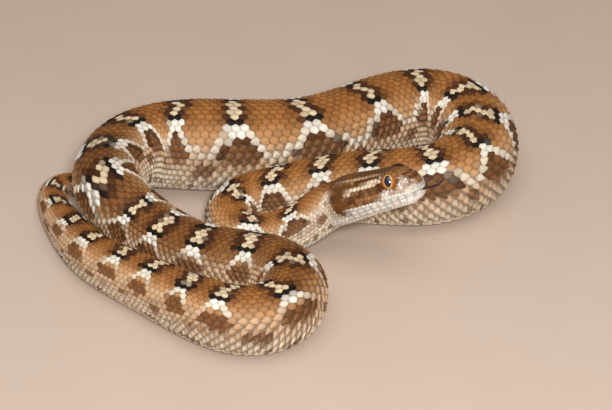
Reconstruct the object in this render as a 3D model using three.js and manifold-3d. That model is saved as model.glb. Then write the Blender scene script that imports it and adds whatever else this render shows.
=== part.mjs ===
// A saw-scaled viper resting in a loose coil, life size, in millimetres.
// The head lies over the fore part of the body, the tail runs under the rear bend.
import * as THREE from "three";
import { NURBSCurve } from "three/addons/curves/NURBSCurve.js";
import { mergeVertices } from "three/addons/utils/BufferGeometryUtils.js";
import Module from "manifold-3d";

// Middle line of the body from neck to tail: across, along, and how far the belly is off the floor.
const COURSE = [
  [8.9, -22.1, 10.2],
  [6.1, -21, 8.8],
  [1, -21.9, 4.2],
  [-6, -23, 1],
  [-13, -23.7, 0],
  [-20, -22, 0],
  [-22.5, -13, 0],
  [-16.5, -6, 0],
  [-6, -6.5, 0],
  [11, -2.5, 0],
  [35, -7, 0],
  [48, 3.5, 0],
  [50.5, 16.5, 0],
  [47.5, 30, 0],
  [35, 37, 0],
  [19.5, 29.5, 0],
  [4, 17.3, 0],
  [-16.5, 14, 0],
  [-28.5, 13, 0],
  [-50.5, 13.5, 2],
  [-57.5, -11, 8],
  [-51, -20, 7],
  [-46, -21.5, 2],
  [-28, -37.5, 0],
  [-8, -40, 0],
  [-2, -50.5, 0],
  [-5.5, -62, 0],
  [-19, -65.6, 0],
  [-37.5, -50, 0],
  [-56, -35.5, 0],
  [-62, -27, 0],
  [-74.5, -1.5, 0],
  [-69.5, 8.5, 0],
  [-60, 5.5, 0],
  [-50.5, -2.5, 0],
  [-43, -8.5, 0],
];
const FLOOR_CENTRE = [-7.366, -12.875];

// Half widths of the body at equal steps from neck to tail tip.
const HALF_WIDTHS = [6.6, 6.6, 9.2, 11.2, 11.7, 12.1, 12.4, 13.2, 10, 8.6, 9.3, 9.1, 7.6, 6, 3.4, 0.5];
const HEIGHT_SHARE = 0.92;
const BACK_FULLNESS = 2.1;
const BELLY_FULLNESS = 2.4;
const BELLY_FLAT = 1.05;
const SIDES = 20;
const RING_STEP = 3.6;
const CUT = 0.4;
const HEAD_JOINT = 0.6;
const TRUNK_PIECES = 11;
const NECK_SHARE = 0.045;
const TAIL_SHARE = 0.9;
const DEGREE = 3;
const COURSE_DIVISIONS = 3000;
const WELD = 1e-4;

// Head: joint with the neck to snout tip, and how it is held.
const HEAD_LENGTH = 26.6;
const HEAD_PITCH = THREE.MathUtils.degToRad(26);
const HEAD_YAW = THREE.MathUtils.degToRad(-22);
const HEAD_ROLL = THREE.MathUtils.degToRad(-14);
const ROLL_FADES_BY = 0.06;
const HEAD_HALF_WIDTHS = [6.6, 7.8, 8.6, 8.7, 8.3, 7.6, 7, 6.6, 5.9, 5.2, 4.6];
const HEAD_TOPS = [6.1, 6.8, 7, 6.9, 6.8, 6.8, 6.8, 6.6, 6, 5.1, 4];
const HEAD_DEPTHS = [6.1, 5.7, 5.3, 5, 4.7, 4.4, 4.2, 4, 3.9, 3.7, 3.2];
const SNOUT_ROUNDS_FROM = 0.84;
const SNOUT_FULLNESS = 2.4;
const SNOUT_END = 0.2;
const HEAD_SIDES = 28;
const HEAD_STEPS = 18;

// Ridge over each eye: its rise, its share along the head and its angle from the crown.
const BROW_RISE = 1.3;
const BROW_AT = 0.73;
const BROW_SPREAD = 0.08;
const BROW_ANGLE = 0.85;
const BROW_ANGLE_SPREAD = 0.3;

const EYE_RADIUS = 2.7;
const EYE_FROM_TIP = 7.3;
const EYE_ASIDE = 3.6;
const EYE_UP = 3.5;
const EYE_SIDES = 20;
const EYE_RINGS = 12;
const CLEARANCE = 0.3;

// Lips: a thin gap that drops from the snout tip back to the corner of the mouth.
const MOUTH_LENGTH = 20;
const MOUTH_GAP = 0.4;
const GAP_WIDTH = 24;
const GAP_PAST_SNOUT = 4;
const GAP_STEPS = 12;
const LIP_TIP_DROP = 0.7;
const LIP_CORNER_DROP = 2.7;
const LIP_BEND = 0.7;

const TONGUE_RADIUS = 0.6;
const TONGUE_FLATNESS = 0.7;
const TONGUE_TAPER = 0.3;
const TONGUE_ROOT = 3;
const TONGUE_OUT = 3.6;
const FORK_LENGTH = 2.6;
const FORK_SPREAD = 0.9;
const FORK_RISE = 1.3;
const FORK_THICKNESS = 0.9;
const FORK_STEPS = 5;
const STEM_STEPS = 4;
const TONGUE_SIDES = 8;

const SKIN_ROUGHNESS = 0.6;
const EYE_ROUGHNESS = 0.15;
const TONGUE_ROUGHNESS = 0.4;
const SCALE_BROWN = 0x9a6b45;
const NECK_BUFF = 0xb99c7e;
const HEAD_BUFF = 0xa98a6c;
const IRIS_AMBER = 0xc98a2b;
const TONGUE_MAROON = 0x4e1114;

const wasm = await Module();
wasm.setup();
const group = new THREE.Group();

// Smooth value of a list of equally spaced numbers at share t of the way along it.
function along(list, t) {
  const place = THREE.MathUtils.clamp(t, 0, 1) * (list.length - 1);
  const i = Math.min(Math.floor(place), list.length - 2);
  const f = place - i;
  const before = list[Math.max(i - 1, 0)];
  const after = list[Math.min(i + 2, list.length - 1)];
  const slopeA = (list[i + 1] - before) / 2;
  const slopeB = (after - list[i]) / 2;
  const rise = list[i + 1] - list[i];
  return (
    list[i] + f * (slopeA + f * (3 * rise - 2 * slopeA - slopeB + f * (slopeA + slopeB - 2 * rise)))
  );
}

function powered(value, fullness) {
  return Math.sign(value) * Math.abs(value) ** (2 / fullness);
}

// Outline of a slice, one unit wide and high each way: round back, fuller flat belly.
function slice(angle) {
  const fullness = Math.cos(angle) > 0 ? BACK_FULLNESS : BELLY_FULLNESS;
  const aside = powered(Math.sin(angle), fullness);
  const up = powered(Math.cos(angle), fullness);
  return [aside, up > 0 ? up : Math.max(up * BELLY_FLAT, -1)];
}

const spans = COURSE.length - DEGREE;
const knots = Array.from({ length: COURSE.length + DEGREE + 1 }, (_, i) =>
  THREE.MathUtils.clamp((i - DEGREE) / spans, 0, 1),
);
const course = new NURBSCurve(
  DEGREE,
  knots,
  COURSE.map(([x, y, lift]) => new THREE.Vector4(x - FLOOR_CENTRE[0], y - FLOOR_CENTRE[1], lift, 1)),
);
course.arcLengthDivisions = COURSE_DIVISIONS;
const bodyLength = course.getLength();

function halfWidth(share) {
  return along(HALF_WIDTHS, share);
}

function middle(share) {
  const point = course.getPointAt(THREE.MathUtils.clamp(share, 0, 1));
  point.z += HEIGHT_SHARE * halfWidth(share);
  return point;
}

// Directions at a place on the body: towards the head, to the animal's left, and up.
function directions(share) {
  const forward = course.getTangentAt(THREE.MathUtils.clamp(share, 0, 1)).negate();
  const left = new THREE.Vector3(0, 0, 1).cross(forward).normalize();
  const up = forward.clone().cross(left);
  const roll = HEAD_ROLL * (1 - THREE.MathUtils.smoothstep(share, 0, ROLL_FADES_BY));
  left.applyAxisAngle(forward, roll);
  up.applyAxisAngle(forward, roll);
  return { forward, left, up };
}

function bodyPoint(share, angle, depth) {
  const { left, up } = directions(share);
  const [aside, high] = slice(angle);
  const half = halfWidth(share) * depth;
  return middle(share)
    .addScaledVector(left, half * aside)
    .addScaledVector(up, half * HEIGHT_SHARE * high);
}

// A closed drum whose points are moved by place(share along, angle round, depth from middle).
function shaped(sides, steps, place) {
  const drum = new THREE.CylinderGeometry(1, 1, 1, sides, steps);
  const points = drum.getAttribute("position");
  for (let i = 0; i < points.count; i++) {
    const x = points.getX(i);
    const z = points.getZ(i);
    const moved = place(points.getY(i) + 0.5, Math.atan2(x, z), Math.hypot(x, z));
    points.setXYZ(i, moved.x, moved.y, moved.z);
  }
  drum.deleteAttribute("normal");
  drum.deleteAttribute("uv");
  return mergeVertices(drum, WELD);
}

function solid(geometry) {
  const plain = geometry.clone();
  plain.deleteAttribute("normal");
  plain.deleteAttribute("uv");
  const merged = mergeVertices(plain, WELD);
  return new wasm.Manifold(
    new wasm.Mesh({
      numProp: 3,
      vertProperties: merged.getAttribute("position").array,
      triVerts: new Uint32Array(merged.index.array),
    }),
  );
}

function geometryOf(manifold) {
  const mesh = manifold.getMesh();
  const geometry = new THREE.BufferGeometry();
  geometry.setAttribute("position", new THREE.BufferAttribute(mesh.vertProperties, 3));
  geometry.setIndex(new THREE.BufferAttribute(mesh.triVerts, 1));
  return geometry;
}

function add(name, geometry, color, roughness) {
  const material = new THREE.MeshStandardMaterial({ color, roughness, metalness: 0 });
  const mesh = new THREE.Mesh(geometry, material);
  mesh.name = name;
  group.add(mesh);
}

// Neck, trunk and tail, parted by thin cuts.
const gap = CUT / bodyLength / 2;

function addLength(name, from, to, color) {
  const start = from > 0 ? from + gap : HEAD_JOINT / bodyLength;
  const end = to < 1 ? to - gap : to;
  const steps = Math.max(2, Math.round(((end - start) * bodyLength) / RING_STEP));
  const place = (up, angle, depth) => bodyPoint(start + (end - start) * up, angle, depth);
  add(name, shaped(SIDES, steps, place), color, SKIN_ROUGHNESS);
}

addLength("neck", 0, NECK_SHARE, NECK_BUFF);
for (let i = 0; i < TRUNK_PIECES; i++) {
  const step = (TAIL_SHARE - NECK_SHARE) / TRUNK_PIECES;
  const from = NECK_SHARE + i * step;
  addLength("trunk_" + (i + 1), from, from + step, SCALE_BROWN);
}
addLength("tail", TAIL_SHARE, 1, SCALE_BROWN);

// Head, in its own frame: forward from the neck joint, to the left, up.
function snoutRounding(share) {
  const q = Math.max(0, (share - SNOUT_ROUNDS_FROM) / (1 - SNOUT_ROUNDS_FROM));
  return Math.max(SNOUT_END, (1 - q ** SNOUT_FULLNESS) ** (1 / SNOUT_FULLNESS));
}

function brow(share, angle) {
  const lengthwise = Math.exp(-(((share - BROW_AT) / BROW_SPREAD) ** 2));
  const round = Math.exp(-(((Math.abs(angle) - BROW_ANGLE) / BROW_ANGLE_SPREAD) ** 2));
  return BROW_RISE * lengthwise * round;
}

function headPoint(share, angle, depth) {
  const [aside, up] = slice(angle);
  const rounding = snoutRounding(share) * depth;
  const high = along(up > 0 ? HEAD_TOPS : HEAD_DEPTHS, share);
  const raised = 1 + brow(share, angle) / high;
  return new THREE.Vector3(
    share * HEAD_LENGTH,
    aside * along(HEAD_HALF_WIDTHS, share) * rounding * raised,
    up * high * rounding * raised,
  );
}

function lipDrop(x) {
  const back = THREE.MathUtils.clamp((HEAD_LENGTH - x) / MOUTH_LENGTH, 0, 1);
  return THREE.MathUtils.lerp(LIP_TIP_DROP, LIP_CORNER_DROP, back ** LIP_BEND);
}

const headBase = middle(0);
const headTurn = new THREE.Matrix4().makeBasis(
  new THREE.Vector3(
    Math.cos(HEAD_PITCH) * Math.cos(HEAD_YAW),
    Math.cos(HEAD_PITCH) * Math.sin(HEAD_YAW),
    Math.sin(HEAD_PITCH),
  ),
  new THREE.Vector3(-Math.sin(HEAD_YAW), Math.cos(HEAD_YAW), 0),
  new THREE.Vector3(
    -Math.sin(HEAD_PITCH) * Math.cos(HEAD_YAW),
    -Math.sin(HEAD_PITCH) * Math.sin(HEAD_YAW),
    Math.cos(HEAD_PITCH),
  ),
);
headTurn.multiply(new THREE.Matrix4().makeRotationX(HEAD_ROLL)).setPosition(headBase);

function inHead(geometry) {
  return geometry.clone().applyMatrix4(headTurn);
}

function eyeBall(side, radius) {
  const ball = new THREE.SphereGeometry(radius, EYE_SIDES, EYE_RINGS);
  return ball.translate(HEAD_LENGTH - EYE_FROM_TIP, side * EYE_ASIDE, EYE_UP);
}

function tongueShape(radius, root) {
  const exit = HEAD_LENGTH + TONGUE_OUT;
  const level = -LIP_TIP_DROP;
  const stem = new THREE.LineCurve3(
    new THREE.Vector3(HEAD_LENGTH - root, 0, level),
    new THREE.Vector3(exit, 0, level),
  );
  const whole = [-1, 1].reduce((joined, side) => {
    const fork = new THREE.CatmullRomCurve3([
      new THREE.Vector3(exit - 2 * radius, 0, level),
      new THREE.Vector3(exit + FORK_LENGTH / 2, (side * FORK_SPREAD) / 2, level + FORK_RISE / 4),
      new THREE.Vector3(exit + FORK_LENGTH, side * FORK_SPREAD, level + FORK_RISE),
    ]);
    return joined.add(solid(closedTube(fork, radius * FORK_THICKNESS, FORK_STEPS)));
  }, solid(closedTube(stem, radius, STEM_STEPS)));
  return geometryOf(whole);
}

// A closed rod along a curve, a little flatter than it is wide.
function closedTube(curve, radius, steps) {
  return shaped(TONGUE_SIDES, steps, (up, angle, depth) => {
    const point = curve.getPoint(up);
    const across = radius * depth * (1 - TONGUE_TAPER * up);
    const aside = -across * Math.sin(angle);
    return point.add(new THREE.Vector3(0, aside, across * Math.cos(angle) * TONGUE_FLATNESS));
  });
}

const gapLength = MOUTH_LENGTH + GAP_PAST_SNOUT;
const mouthGap = new THREE.BoxGeometry(gapLength, GAP_WIDTH, MOUTH_GAP, GAP_STEPS, 1, 1);
mouthGap.translate(HEAD_LENGTH - MOUTH_LENGTH + gapLength / 2, 0, 0);
const gapPoints = mouthGap.getAttribute("position");
for (let i = 0; i < gapPoints.count; i++) {
  gapPoints.setZ(i, gapPoints.getZ(i) - lipDrop(gapPoints.getX(i)));
}
const wholeHead = shaped(HEAD_SIDES, HEAD_STEPS, (up, angle, depth) => {
  return headPoint(1 - up, angle, depth);
});
const headSolid = solid(wholeHead)
  .subtract(solid(eyeBall(-1, EYE_RADIUS + CLEARANCE)))
  .subtract(solid(eyeBall(1, EYE_RADIUS + CLEARANCE)))
  .subtract(solid(mouthGap))
  .subtract(solid(tongueShape(TONGUE_RADIUS + CLEARANCE, TONGUE_ROOT + CLEARANCE)));
add("head", inHead(geometryOf(headSolid)), HEAD_BUFF, SKIN_ROUGHNESS);
add("eye_left", inHead(eyeBall(1, EYE_RADIUS)), IRIS_AMBER, EYE_ROUGHNESS);
add("eye_right", inHead(eyeBall(-1, EYE_RADIUS)), IRIS_AMBER, EYE_ROUGHNESS);
add("tongue", inHead(tongueShape(TONGUE_RADIUS, TONGUE_ROOT)), TONGUE_MAROON, TONGUE_ROUGHNESS);

export default group;
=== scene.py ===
# A saw-scaled viper resting in a loose coil: one skin under rows of keeled scales.
# Sizes are in millimetres until a mesh is written, and every mesh is in metres.
# A place on the animal is (g, around): g runs back from the neck joint and is negative on the head,
# and around runs from -1 to 1, with 0 on the back and both ends under the belly.
import math

import bmesh
import bpy
import numpy as np
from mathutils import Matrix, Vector


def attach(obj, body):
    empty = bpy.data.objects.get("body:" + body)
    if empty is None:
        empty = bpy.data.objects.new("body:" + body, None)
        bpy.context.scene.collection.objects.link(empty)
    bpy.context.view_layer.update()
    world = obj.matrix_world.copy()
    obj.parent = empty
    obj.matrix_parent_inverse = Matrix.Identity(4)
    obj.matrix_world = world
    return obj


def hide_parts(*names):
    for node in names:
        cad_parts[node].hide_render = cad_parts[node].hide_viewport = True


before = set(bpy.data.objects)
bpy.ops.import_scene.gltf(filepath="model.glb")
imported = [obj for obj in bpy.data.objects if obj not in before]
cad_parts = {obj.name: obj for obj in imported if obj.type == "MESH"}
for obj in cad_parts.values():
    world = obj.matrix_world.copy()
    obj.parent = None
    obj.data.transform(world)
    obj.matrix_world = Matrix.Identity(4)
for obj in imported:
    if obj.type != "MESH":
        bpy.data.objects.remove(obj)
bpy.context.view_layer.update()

MM = 0.001
COURSE = [
    (8.9, -22.1, 10.2), (6.1, -21, 8.8), (1, -21.9, 4.2), (-6, -23, 1), (-13, -23.7, 0), (-20, -22, 0),
    (-22.5, -13, 0), (-16.5, -6, 0), (-6, -6.5, 0), (11, -2.5, 0), (35, -7, 0), (48, 3.5, 0),
    (50.5, 16.5, 0), (47.5, 30, 0), (35, 37, 0), (19.5, 29.5, 0), (4, 17.3, 0), (-16.5, 14, 0),
    (-28.5, 13, 0), (-50.5, 13.5, 2), (-57.5, -11, 8), (-51, -20, 7), (-46, -21.5, 2), (-28, -37.5, 0),
    (-8, -40, 0), (-2, -50.5, 0), (-5.5, -62, 0), (-19, -65.6, 0), (-37.5, -50, 0), (-56, -35.5, 0),
    (-62, -27, 0), (-74.5, -1.5, 0), (-69.5, 8.5, 0), (-60, 5.5, 0), (-50.5, -2.5, 0), (-43, -8.5, 0),
]
FLOOR_CENTRE = (-7.366, -12.875)
HALF_WIDTHS = [6.6, 6.6, 9.2, 11.2, 11.7, 12.1, 12.4, 13.2, 10, 8.6, 9.3, 9.1, 7.6, 6, 3.4, 0.5]
HEIGHT_SHARE = 0.92
BACK_FULLNESS = 2.1
BELLY_FULLNESS = 2.4
BELLY_FLAT = 1.05
HEAD_LENGTH = 26.6
HEAD_PITCH = math.radians(26)
HEAD_YAW = math.radians(-22)
HEAD_ROLL = math.radians(-14)
ROLL_FADES_BY = 0.06
HEAD_HALF_WIDTHS = [6.6, 7.8, 8.6, 8.7, 8.3, 7.6, 7, 6.6, 5.9, 5.2, 4.6]
HEAD_TOPS = [6.1, 6.8, 7, 6.9, 6.8, 6.8, 6.8, 6.6, 6, 5.1, 4]
HEAD_DEPTHS = [6.1, 5.7, 5.3, 5, 4.7, 4.4, 4.2, 4, 3.9, 3.7, 3.2]
SNOUT_ROUNDS_FROM = 0.84
SNOUT_FULLNESS = 2.4
BROW_RISE = 1.3
BROW_AT = 0.73
BROW_SPREAD = 0.08
BROW_ANGLE = 0.85
BROW_ANGLE_SPREAD = 0.3
EYE_RADIUS = 2.7
EYE_CENTRE = (HEAD_LENGTH - 7.3, 3.6, 3.5)
MOUTH_LENGTH = 20
LIP_TIP_DROP = 0.7
LIP_CORNER_DROP = 2.7
LIP_BEND = 0.7
STATIONS = 6000
JOIN = 1.5


def smooth(low, high, x):
    """0 below low, 1 above high; falls the other way if low is the larger."""
    t = np.clip((np.asarray(x, float) - low) / (high - low), 0, 1)
    return t * t * (3 - 2 * t)


def along(values, t):
    """A smooth curve through evenly spaced values, read at t from 0 to 1."""
    values = np.asarray(values, float)
    place = np.clip(t, 0, 1) * (len(values) - 1)
    i = np.minimum(np.asarray(place).astype(int), len(values) - 2)
    f = place - i
    here, there = values[i], values[i + 1]
    slope_a = (there - values[np.maximum(i - 1, 0)]) / 2
    slope_b = (values[np.minimum(i + 2, len(values) - 1)] - here) / 2
    rise = there - here
    return here + f * (slope_a + f * (3 * rise - 2 * slope_a - slope_b + f * (slope_a + slope_b - 2 * rise)))


def spline(points, u, degree=3):
    """A clamped B-spline, read at each u from 0 to 1."""
    count = len(points)
    knots = np.clip((np.arange(count + degree + 1) - degree) / (count - degree), 0, 1)
    u = np.minimum(u, 1 - 1e-12)[:, None]
    basis = ((knots[:-1] <= u) & (u < knots[1:])).astype(float)
    for d in range(1, degree + 1):
        rising, falling = knots[d:-1] - knots[: -1 - d], knots[d + 1 :] - knots[1:-d]
        up = np.where(rising > 0, (u - knots[: -1 - d]) / np.where(rising > 0, rising, 1), 0)
        down = np.where(falling > 0, (knots[d + 1 :] - u) / np.where(falling > 0, falling, 1), 0)
        basis = up * basis[:, :-1] + down * basis[:, 1:]
    return basis @ points


def unit(v):
    return v / np.linalg.norm(v, axis=-1, keepdims=True)


course = np.array(COURSE, float) - [*FLOOR_CENTRE, 0]
even = np.linspace(0, 1, STATIONS + 1)
traced = spline(course, even)
reached = np.r_[0, np.cumsum(np.linalg.norm(np.diff(traced, axis=0), axis=1))]
BODY_LENGTH = reached[-1]
LINE = spline(course, np.interp(even * BODY_LENGTH, reached, even))
FORWARD = -unit(np.gradient(LINE, axis=0))
LEFT = unit(np.cross([0, 0, 1], FORWARD))
UP = np.cross(FORWARD, LEFT)
roll = (HEAD_ROLL * (1 - smooth(0, ROLL_FADES_BY, even)))[:, None]
LEFT, UP = LEFT * np.cos(roll) + UP * np.sin(roll), UP * np.cos(roll) - LEFT * np.sin(roll)
CENTRE = LINE + np.outer(HEIGHT_SHARE * along(HALF_WIDTHS, even), [0, 0, 1])


def powered(value, fullness):
    """Rounds a sine or cosine out towards a squarer section."""
    return np.sign(value) * np.abs(value) ** (2 / fullness)


ANGLES = np.linspace(-math.pi, math.pi, 4001)
fullness = np.where(np.cos(ANGLES) > 0, BACK_FULLNESS, BELLY_FULLNESS)
ASIDE = powered(np.sin(ANGLES), fullness)
HIGH = powered(np.cos(ANGLES), fullness)
HIGH = np.where(HIGH > 0, HIGH, np.maximum(HIGH * BELLY_FLAT, -1))
steps = np.hypot(np.diff(ASIDE), HEIGHT_SHARE * np.diff(HIGH))
ROUND = np.r_[0, np.cumsum(steps)]
GIRTH = ROUND[-1]
ROUND = 2 * ROUND / GIRTH - 1


def picked(table, share):
    """Row of a table with one row for each station along the body."""
    place = np.clip(share, 0, 1) * STATIONS
    i = np.minimum(place.astype(int), STATIONS - 1)
    f = (place - i)[..., None]
    return table[i] * (1 - f) + table[i + 1] * f


def body_outside(g, around):
    """Point on the outside of the neck, trunk or tail."""
    q = (around + 1) % 2 - 1
    share = g / BODY_LENGTH
    half = along(HALF_WIDTHS, share)[..., None]
    aside, high = np.interp(q, ROUND, ASIDE)[..., None], np.interp(q, ROUND, HIGH)[..., None]
    centre = picked(CENTRE, share) + picked(FORWARD, share) * np.maximum(-g, 0)[..., None]
    return centre + picked(LEFT, share) * half * aside + picked(UP, share) * half * HEIGHT_SHARE * high


def head_basis():
    cp, sp, cy, sy = math.cos(HEAD_PITCH), math.sin(HEAD_PITCH), math.cos(HEAD_YAW), math.sin(HEAD_YAW)
    turn = np.array([[cp * cy, -sy, -sp * cy], [cp * sy, cy, -sp * sy], [sp, 0, cp]])
    c, s = math.cos(HEAD_ROLL), math.sin(HEAD_ROLL)
    return turn @ np.array([[1, 0, 0], [0, c, -s], [0, s, c]])


HEAD_TURN = head_basis()


def snout_rounding(t):
    r = np.clip((t - SNOUT_ROUNDS_FROM) / (1 - SNOUT_ROUNDS_FROM), 0, 1)
    return np.maximum((1 - r**SNOUT_FULLNESS) ** (1 / SNOUT_FULLNESS), 0.01)


def head_local(x, around):
    """Point on the outside of the head, with x forward of the neck joint, y left and z up."""
    q = (around + 1) % 2 - 1
    angle = np.interp(q, ROUND, ANGLES)
    aside, up = np.interp(q, ROUND, ASIDE), np.interp(q, ROUND, HIGH)
    t = x / HEAD_LENGTH
    rounding = snout_rounding(t)
    high = np.where(up > 0, along(HEAD_TOPS, t), along(HEAD_DEPTHS, t))
    brow = BROW_RISE * np.exp(-(((t - BROW_AT) / BROW_SPREAD) ** 2))
    brow = brow * np.exp(-(((np.abs(angle) - BROW_ANGLE) / BROW_ANGLE_SPREAD) ** 2))
    raised = 1 + brow / high
    half = along(HEAD_HALF_WIDTHS, t)
    return np.stack([x, aside * half * rounding * raised, up * high * rounding * raised], -1)


def in_head(local):
    return local @ HEAD_TURN.T + CENTRE[0]


def outside(g, around):
    """Point on the outside of the animal; the head runs smoothly into the neck."""
    g, around = np.broadcast_arrays(np.asarray(g, float), np.asarray(around, float))
    w = smooth(-JOIN, JOIN, g)[..., None]
    return in_head(head_local(-g, around)) * (1 - w) + body_outside(g, around) * w


class Signal:
    """An output socket that takes part in arithmetic."""

    def __init__(self, wires, socket):
        self.wires, self.socket = wires, socket

    def __add__(self, other):
        return self.wires.math("ADD", self, other)

    def __sub__(self, other):
        return self.wires.math("SUBTRACT", self, other)

    def __rsub__(self, other):
        return self.wires.math("SUBTRACT", other, self)

    def __mul__(self, other):
        return self.wires.math("MULTIPLY", self, other)

    def __truediv__(self, other):
        return self.wires.math("DIVIDE", self, other)

    __radd__ = __add__
    __rmul__ = __mul__


class Wires:
    """Adds nodes to one shader tree."""

    def __init__(self, tree):
        self.tree = tree
        self.nodes = tree.nodes

    def feed(self, socket, value):
        if isinstance(value, Signal):
            self.tree.links.new(value.socket, socket)
        elif isinstance(value, bpy.types.NodeSocket):
            self.tree.links.new(value, socket)
        else:
            socket.default_value = value

    def math(self, operation, a, b=0.0):
        node = self.nodes.new("ShaderNodeMath")
        node.operation = operation
        self.feed(node.inputs[0], a)
        self.feed(node.inputs[1], b)
        return Signal(self, node.outputs[0])

    def size_of(self, a):
        return self.math("ABSOLUTE", a)

    def most(self, a, b):
        return self.math("MAXIMUM", a, b)

    def step(self, low, high, x):
        """0 below low, 1 above high; falls the other way if low is the larger."""
        node = self.nodes.new("ShaderNodeMapRange")
        node.interpolation_type = "SMOOTHSTEP"
        swap = not isinstance(low, Signal) and not isinstance(high, Signal) and low > high
        self.feed(node.inputs["Value"], x)
        self.feed(node.inputs["From Min"], high if swap else low)
        self.feed(node.inputs["From Max"], low if swap else high)
        node.inputs["To Min"].default_value = 1.0 if swap else 0.0
        node.inputs["To Max"].default_value = 0.0 if swap else 1.0
        return Signal(self, node.outputs["Result"])

    def inside(self, x, centre, half, soft):
        """1 within half of centre, fading out over soft."""
        return self.step(0, 1, (half + soft / 2 - self.size_of(x - centre)) / soft)

    def tint(self, factor, a, b, way="MIX"):
        node = self.nodes.new("ShaderNodeMix")
        node.data_type = "RGBA"
        node.blend_type = way
        self.feed(node.inputs[0], factor)
        self.feed(node.inputs[6], a)
        self.feed(node.inputs[7], b)
        return Signal(self, node.outputs[2])

    def read(self, name):
        node = self.nodes.new("ShaderNodeAttribute")
        node.attribute_name = name
        return Signal(self, node.outputs["Fac"])

    def noise(self, vector, scale, detail=2.0):
        node = self.nodes.new("ShaderNodeTexNoise")
        self.feed(node.inputs["Vector"], vector)
        node.inputs["Scale"].default_value = scale
        node.inputs["Detail"].default_value = detail
        return Signal(self, node.outputs[0])

    def shaded(self, color, shade):
        """A colour made lighter or darker by a factor."""
        return self.tint(1.0, color, self.tint(shade, (0, 0, 0, 1), (1, 1, 1, 1)), "MULTIPLY")

    def lot(self, *values):
        """An even random number from up to three numbers."""
        packed = self.nodes.new("ShaderNodeCombineXYZ")
        for i, value in enumerate(values):
            self.feed(packed.inputs[i], value)
        node = self.nodes.new("ShaderNodeTexWhiteNoise")
        self.feed(node.inputs["Vector"], packed.outputs[0])
        return Signal(self, node.outputs["Value"])


def paint(code):
    """Linear colour of a screen colour such as c8a27a."""
    screen = [int(code[i : i + 2], 16) / 255 for i in (0, 2, 4)]
    return (*[c / 12.92 if c <= 0.04045 else ((c + 0.055) / 1.055) ** 2.4 for c in screen], 1)


def group(name, takes, gives):
    """A named node group; returns it with its wires, its inputs and where its outputs go."""
    made = bpy.data.node_groups.new(name, "ShaderNodeTree")
    kinds = {float: "NodeSocketFloat", tuple: "NodeSocketColor"}
    for label, value in takes.items():
        socket = made.interface.new_socket(label, in_out="INPUT", socket_type=kinds[type(value)])
        socket.default_value = value
    for label, kind in gives.items():
        made.interface.new_socket(label, in_out="OUTPUT", socket_type=kinds[kind])
    wires = Wires(made)
    source, sink = made.nodes.new("NodeGroupInput"), made.nodes.new("NodeGroupOutput")
    return made, wires, {k: Signal(wires, source.outputs[k]) for k in takes}, sink.inputs


# The viper's markings, from a place on the body, in degrees round from the middle of the back.
PATCH_MIDDLE = 23.5
ARCH_APEX = 37
BLOTCH_MIDDLE = 66
FOOT_MIDDLE = 94
BELLY_EDGE = 126
marks_group, w, take, give = group(
    "viper_markings",
    {"Bar": 0.0, "Gap": 15.0, "Round": 0.0, "Tone": 0.5},
    {"Color": tuple},
)
bar, gap, tone = take["Bar"], take["Gap"], take["Tone"]
nearest = w.math("ROUND", bar)
lot_a, lot_b = w.lot(nearest, 3.1), w.lot(nearest, 7.7)
side = w.math("SIGN", take["Round"])
slip = (bar - nearest) + side * (lot_a - 0.5) * 0.18
away = w.size_of(slip)
off = away * gap + (tone - 0.5) * 0.6
down = w.size_of(take["Round"]) + (w.lot(tone, 2.0) - 0.5) * 3
tailward = w.step(16.5, 20.0, bar)

# Tan brown back, darker beside the crossbars, fading to a paler flank
color = w.tint(w.step(14, 66, down), paint("9d6530"), paint("b98c60"))
color = w.tint(w.step(46, 86, down) * 0.9, color, paint("c3a282"))
saddle = w.step(8.0, 2.0, off) * w.step(48, 24, down)
color = w.tint(saddle * 0.7, color, paint("613715"))
# Painted shade: the back and upper flank round bar 19 are darkened where that stretch of the coil gets less
# light.
falloff_shade = w.inside(bar, 19.0, 3.5, 2.5) * w.step(75, 45, down)
color = w.tint(falloff_shade * 0.42, color, paint("4a2a10"))
speck = w.step(0.66, 0.92, w.lot(tone, 5.0))
color = w.tint(w.step(66, 95, down) * speck * 0.6, color, paint("8f673f"))
color = w.tint(w.step(84, 115, down) * (0.9 - speck * 0.5), color, paint("dccab2"))

neck_flank = w.step(1.0, 0.15, bar) * w.step(58, 86, down)
color = w.tint(neck_flank * (0.75 - speck * 0.6), color, paint("d3c4b0"))

# Scalloped arches, a blotch under each and a spot between their feet
arch = w.step(0.0, 0.48, away) * (36 - tailward * 8) + ARCH_APEX
below = down - arch
blotch_d = away / (0.33 - tailward * 0.07)
blotch_a = (down - (BLOTCH_MIDDLE + tailward * 3)) / (20 - tailward * 5)
blotch = w.step(1.3, 0.85, blotch_d * blotch_d + blotch_a * blotch_a) * w.step(2, 7, below)
color = w.tint(blotch * 0.9, color, paint("6c411c"))
cap = blotch * w.step(22, 7, below)
color = w.tint(cap * 0.85, color, paint("3a1f0a"))
foot_d = (0.5 - away) / 0.12
foot_a = (down - FOOT_MIDDLE) / 9
foot = w.step(1.4, 0.7, foot_d * foot_d + foot_a * foot_a)
color = w.tint(foot * 0.85, color, paint("704a28"))
line_width = 8.2 - w.step(0.1, 0.45, away) * 1.6
line = w.step(line_width + 1.6, line_width - 1.2, w.size_of(below))
line = line * (1 - tailward * w.step(0.16, 0.27, away) * 0.8)
line = line * (1 - w.step(0.22, 0.5, away) * 0.2)
color = w.tint(line * 0.94, color, paint("d6c9b5"))
apex = w.inside(down, ARCH_APEX, 8.2, 0.8) * w.step(2.7, 2.3, off * (1 + tailward * 0.6))
color = w.tint(apex, color, paint("e0d8ca"))

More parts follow.
